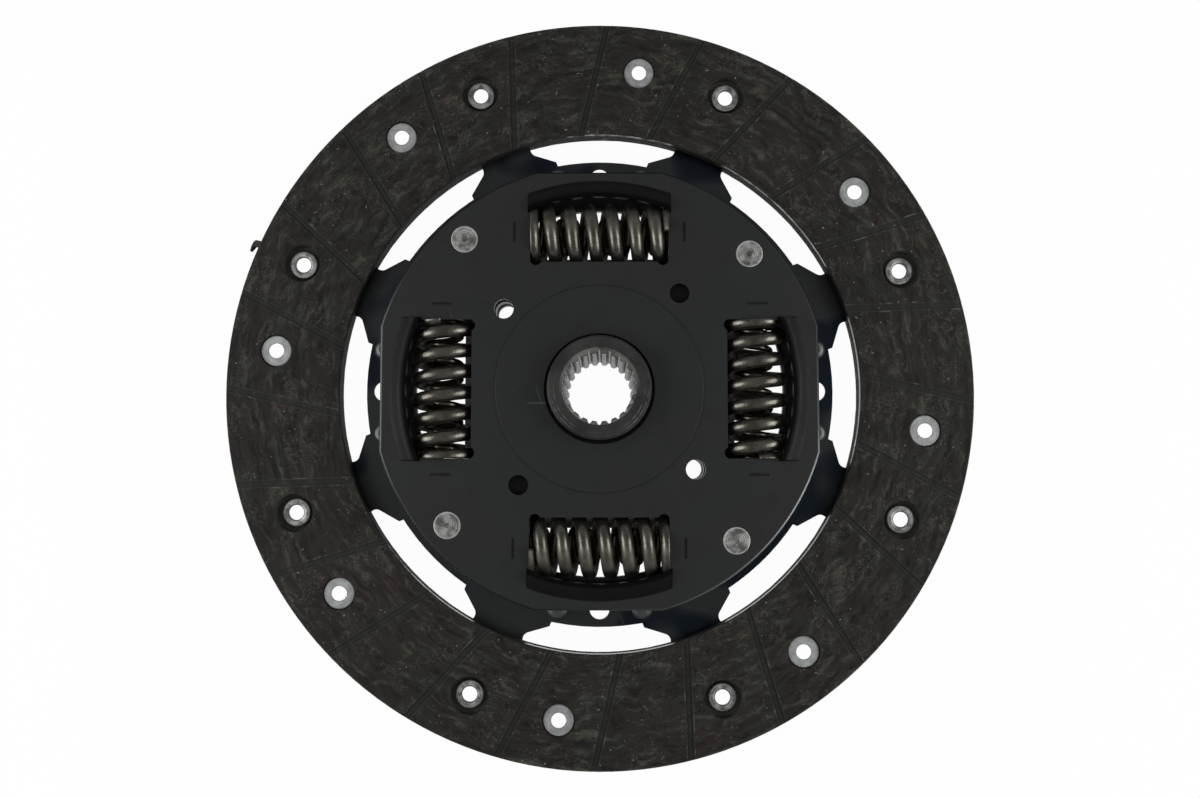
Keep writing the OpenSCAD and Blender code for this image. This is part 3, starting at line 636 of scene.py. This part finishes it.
springSpec = {"circle": 41.3 * mm, "height": 22 * mm, "length": 36.3 * mm, "outer": 17.9 * mm,
              "wire": 3.5 * mm, "turns": 7.4, "start": 90, "hand": 1, "perTurn": 48, "round": 24,
              "closed": 0.6, "ground": 0.1, "touch": 0.08 * mm, "keep": 0.861}
innerSpec = dict(springSpec, outer=10 * mm, wire=1.9 * mm, turns=10.5, start=200, hand=-1,
                 perTurn=34, round=14)


# A coil along Y: the wire's centre climbs by rise(u) over u turns, slowly over each closed end turn and
# evenly between them, its section is a circle of the wire's radius, and both ends are ground flat
def coilGrid(spec, turn):
    wire, length, turns, closed = spec["wire"], spec["length"], spec["turns"], spec["closed"]
    sunk = spec["ground"] * wire
    near = wire + spec["touch"]
    pitch = (length + 2 * sunk - 2 * near) / (turns - 2)
    slow = (near - pitch * (1 - closed)) / closed
    u = np.linspace(0, turns, round(turns * spec["perTurn"]) + 1)[:, None]
    around = np.linspace(0, 2 * np.pi, spec["round"], endpoint=False)[None, :]
    rise = np.where(u < closed, slow * u - sunk,
                    np.where(u > turns - closed, length + sunk - slow * (turns - u),
                             slow * closed + pitch * (u - closed) - sunk))
    angle = math.radians(spec["start"]) - 2 * np.pi * u
    r = (spec["outer"] - wire) / 2 + wire / 2 * np.cos(around)
    y = spec["hand"] * (np.clip(rise + wire / 2 * np.sin(around), 0, length) - length / 2)
    x = spec["circle"] + r * np.cos(angle)
    z = spec["height"] + r * np.sin(angle)
    c, s = math.cos(turn), math.sin(turn)
    rowLength = (u * np.pi * (spec["outer"] - wire)).ravel()
    return np.stack([c * x - s * y, s * x + c * y, z], -1), rowLength


# Shot-peened spring wire: pitted satin steel, brown in the hollows, with drawing lines along the wire
wireSpec = {"base": (0.128, 0.124, 0.108), "dark": (0.078, 0.072, 0.060), "flank": (0.082, 0.066, 0.050),
            "shade": (0.0105, 0.0105, 0.0098), "shadeFrom": 48.3 * mm, "calmFrom": 43.0 * mm,
            "rough": 0.27, "metal": 0.93}
innerWireSpec = dict(wireSpec, base=(0.12, 0.105, 0.084), dark=(0.045, 0.037, 0.027))


def wireFinish(spec, name):
    f = Finish(name)
    place = f.place()
    u, v = f.split(f.node("ShaderNodeTexCoord", out="UV"))[:2]
    turn = v * (2 * math.pi)
    cosine, sine = turn.maths("COSINE"), turn.maths("SINE")
    lines = f.noise(f.join(u * 180, cosine * 5, sine * 5), 1.0, 3, 0.6)
    pits = f.noise(place, 2300, 3, 0.6)
    cloud = f.noise(place, 260, 3, 0.6)
    body = f.mix(f.mask(cloud, 0.36, 0.62), spec["dark"], spec["base"])
    body = f.mix(f.mask(pits, 0.50, 0.36) * 0.55, body, spec["dark"])
    body = f.mix(f.mask(lines, 0.56, 0.72) * 0.35, body, toned(spec["base"], 1.35))
    # Oil and rust darken the half of the wire that faces into the coil; painted shadow darkens the part
    # under the hood
    flank = f.mask(cosine, 0.62, 0.10)
    x, y = f.split(place)[:2]
    outward = squarely(x, y)[0]
    hooded = f.mask(outward, spec["shadeFrom"] - 1.9 * mm, spec["shadeFrom"])
    body = f.mix(flank, body, spec["flank"])
    body = f.mix(hooded * 0.95, body, spec["shade"])
    # The outer half of the springs above and below the hub shines less
    upright = f.mask(abs(y) - abs(x), -1 * mm, 1 * mm)
    calm = upright * f.mask(outward, spec["calmFrom"] - 3.2 * mm, spec["calmFrom"]) * 0.7
    dull = flank.maths("MAXIMUM", hooded).maths("MAXIMUM", calm)
    rough = pits * 0.18 + cloud * 0.12 + (spec["rough"] - 0.13) + dull * 0.42
    height = pits * 0.55 + lines * 0.25 + cloud * 0.2
    return f.close({"Base Color": body, "Roughness": rough, "Metallic": spec["metal"],
                    "Normal": f.bump(height, 0.50, 0.16 * mm)})


def makeSprings():
    outer = wireFinish(wireSpec, "peened spring wire")
    inner = wireFinish(innerWireSpec, "inner spring wire")
    for i in (1, 2, 3, 4):
        turn = math.radians(90 * (i - 1))
        for name, node, spec, material in (("spring_wire_%d" % i, "spring_%d" % i, springSpec, outer),
                                           ("inner_wire_%d" % i, "inner_spring_%d" % i, innerSpec, inner)):
            grid, rowLength = coilGrid(spec, turn)
            piece = tubePiece(name, grid, rowLength, material)
            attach(piece, "springs")
            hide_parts(node)
            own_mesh(piece)


makeSprings()
print("springs wound")

lipSpec = {"near": 9.95 * mm, "thick": 0.75 * mm, "from": 37.5, "to": 65.0, "half": 18.1 * mm,
           "steps": 10, "rows": 9}


# Curled inner edges of the rear plate's windows: R = circle - q cos t and Z = height - q sin t,
# straight along the window
def makeLips(material):
    t = np.radians(np.linspace(lipSpec["from"], lipSpec["to"], lipSpec["steps"]))
    t = np.concatenate([t, t[::-1]])
    q = np.repeat([lipSpec["near"], lipSpec["near"] + lipSpec["thick"]], lipSpec["steps"])
    along = np.linspace(-lipSpec["half"], lipSpec["half"], lipSpec["rows"])
    x = np.broadcast_to(springSpec["circle"] - q * np.cos(t), (len(along), len(t)))
    z = np.broadcast_to(springSpec["height"] - q * np.sin(t), x.shape)
    y = np.broadcast_to(along[:, None], x.shape)
    for i in (1, 2, 3, 4):
        c, s = round(math.cos(math.pi / 2 * i)), round(math.sin(math.pi / 2 * i))
        grid = np.stack([c * x - s * y, s * x + c * y, z], -1)
        piece = tubePiece("window_lip_%d" % i, grid, along - along[0], material)
        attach(piece, "disc")


rollSpec = {"middle": 2.86 * mm, "wide": 0.88 * mm, "high": 0.53 * mm, "over": 0.03 * mm, "power": 0.75,
            "round": 48, "section": 20}
rolledEndSpec = dict(rearRivetSpec, base=(0.52, 0.52, 0.51), dark=(0.12, 0.12, 0.115), rough=0.34)


# Flattened ends of the tubular rivets: rings whose section is a squared circle, wide along the radius
def makeRolls(material):
    node = nodes["rear_facing_rivets"]
    top = max((node.matrix_world @ Vector(corner)).z for corner in node.bound_box) + rollSpec["over"]
    a = np.linspace(0, 2 * np.pi, rollSpec["round"], endpoint=False)[:, None]
    b = np.linspace(0, 2 * np.pi, rollSpec["section"], endpoint=False)[None, :]
    squared = np.sign(np.cos(b)) * np.abs(np.cos(b)) ** rollSpec["power"]
    lifted = np.sign(np.sin(b)) * np.abs(np.sin(b)) ** rollSpec["power"]
    r = rollSpec["middle"] + rollSpec["wide"] * squared + 0 * a
    z = top - rollSpec["high"] + rollSpec["high"] * lifted + 0 * a
    rows, columns = r.shape
    i, j = np.meshgrid(np.arange(rows), np.arange(columns), indexing="ij")
    k, n = (i + 1) % rows, (j + 1) % columns
    quads = np.stack([i * columns + j, k * columns + j, k * columns + n, i * columns + n], -1).reshape(-1, 4)
    points, faces = [], []
    for count in range(rearRivetSpec["count"]):
        turn = math.radians(rearRivetSpec["start"] + 360 / rearRivetSpec["count"] * count)
        x = rearRivetSpec["circle"] * math.cos(turn) + r * np.cos(a)
        y = rearRivetSpec["circle"] * math.sin(turn) + r * np.sin(a)
        points.append(np.stack([x, y, z], -1).reshape(-1, 3))
        faces.append(quads + count * rows * columns)
    faces = np.concatenate(faces)
    smooth = np.ones(len(faces), bool)
    piece = addPiece("rolled_rivet_ends", np.concatenate(points), faces.tolist(), smooth, material)
    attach(piece, "disc")


makeLips(sheetFinish(rearPlateSpec, "window lip steel"))
makeRolls(spotFinish(rolledEndSpec, "rolled rivet steel"))
print("window lips and rivet ends made")

# A flake torn up at the rim, at the upper left of the picture: an outline on the lining in millimetres,
# with a flat top and foot
flakeSpec = {"outline": ((-91.4, 40.6), (-92.2, 40.8), (-92.9, 40.9), (-93.6, 40.3), (-94.1, 39.3),
                         (-94.5, 37.9), (-94.1, 38.3), (-93.6, 39.0), (-93.1, 39.3), (-92.5, 38.9),
                         (-91.6, 39.4)),
             "foot": 19.6, "top": 21.7, "rows": 4, "taper": 0.06}


def makeFlake(material):
    outline = np.array(flakeSpec["outline"]) * mm
    middle = outline.mean(0)
    heights = np.linspace(flakeSpec["foot"], flakeSpec["top"], flakeSpec["rows"]) * mm
    layers = []
    for height in heights:
        size = 1 - flakeSpec["taper"] if height == heights[-1] else 1
        layers.append(np.column_stack([middle + (outline - middle) * size, np.full(len(outline), height)]))
    piece = tubePiece("rim_flake", np.stack(layers), heights - heights[0], material)
    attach(piece, "disc")


makeFlake(liningFinish(liningSpec, "torn lining"))
print("flake made")

bpy.context.scene.view_settings.view_transform = "Standard"
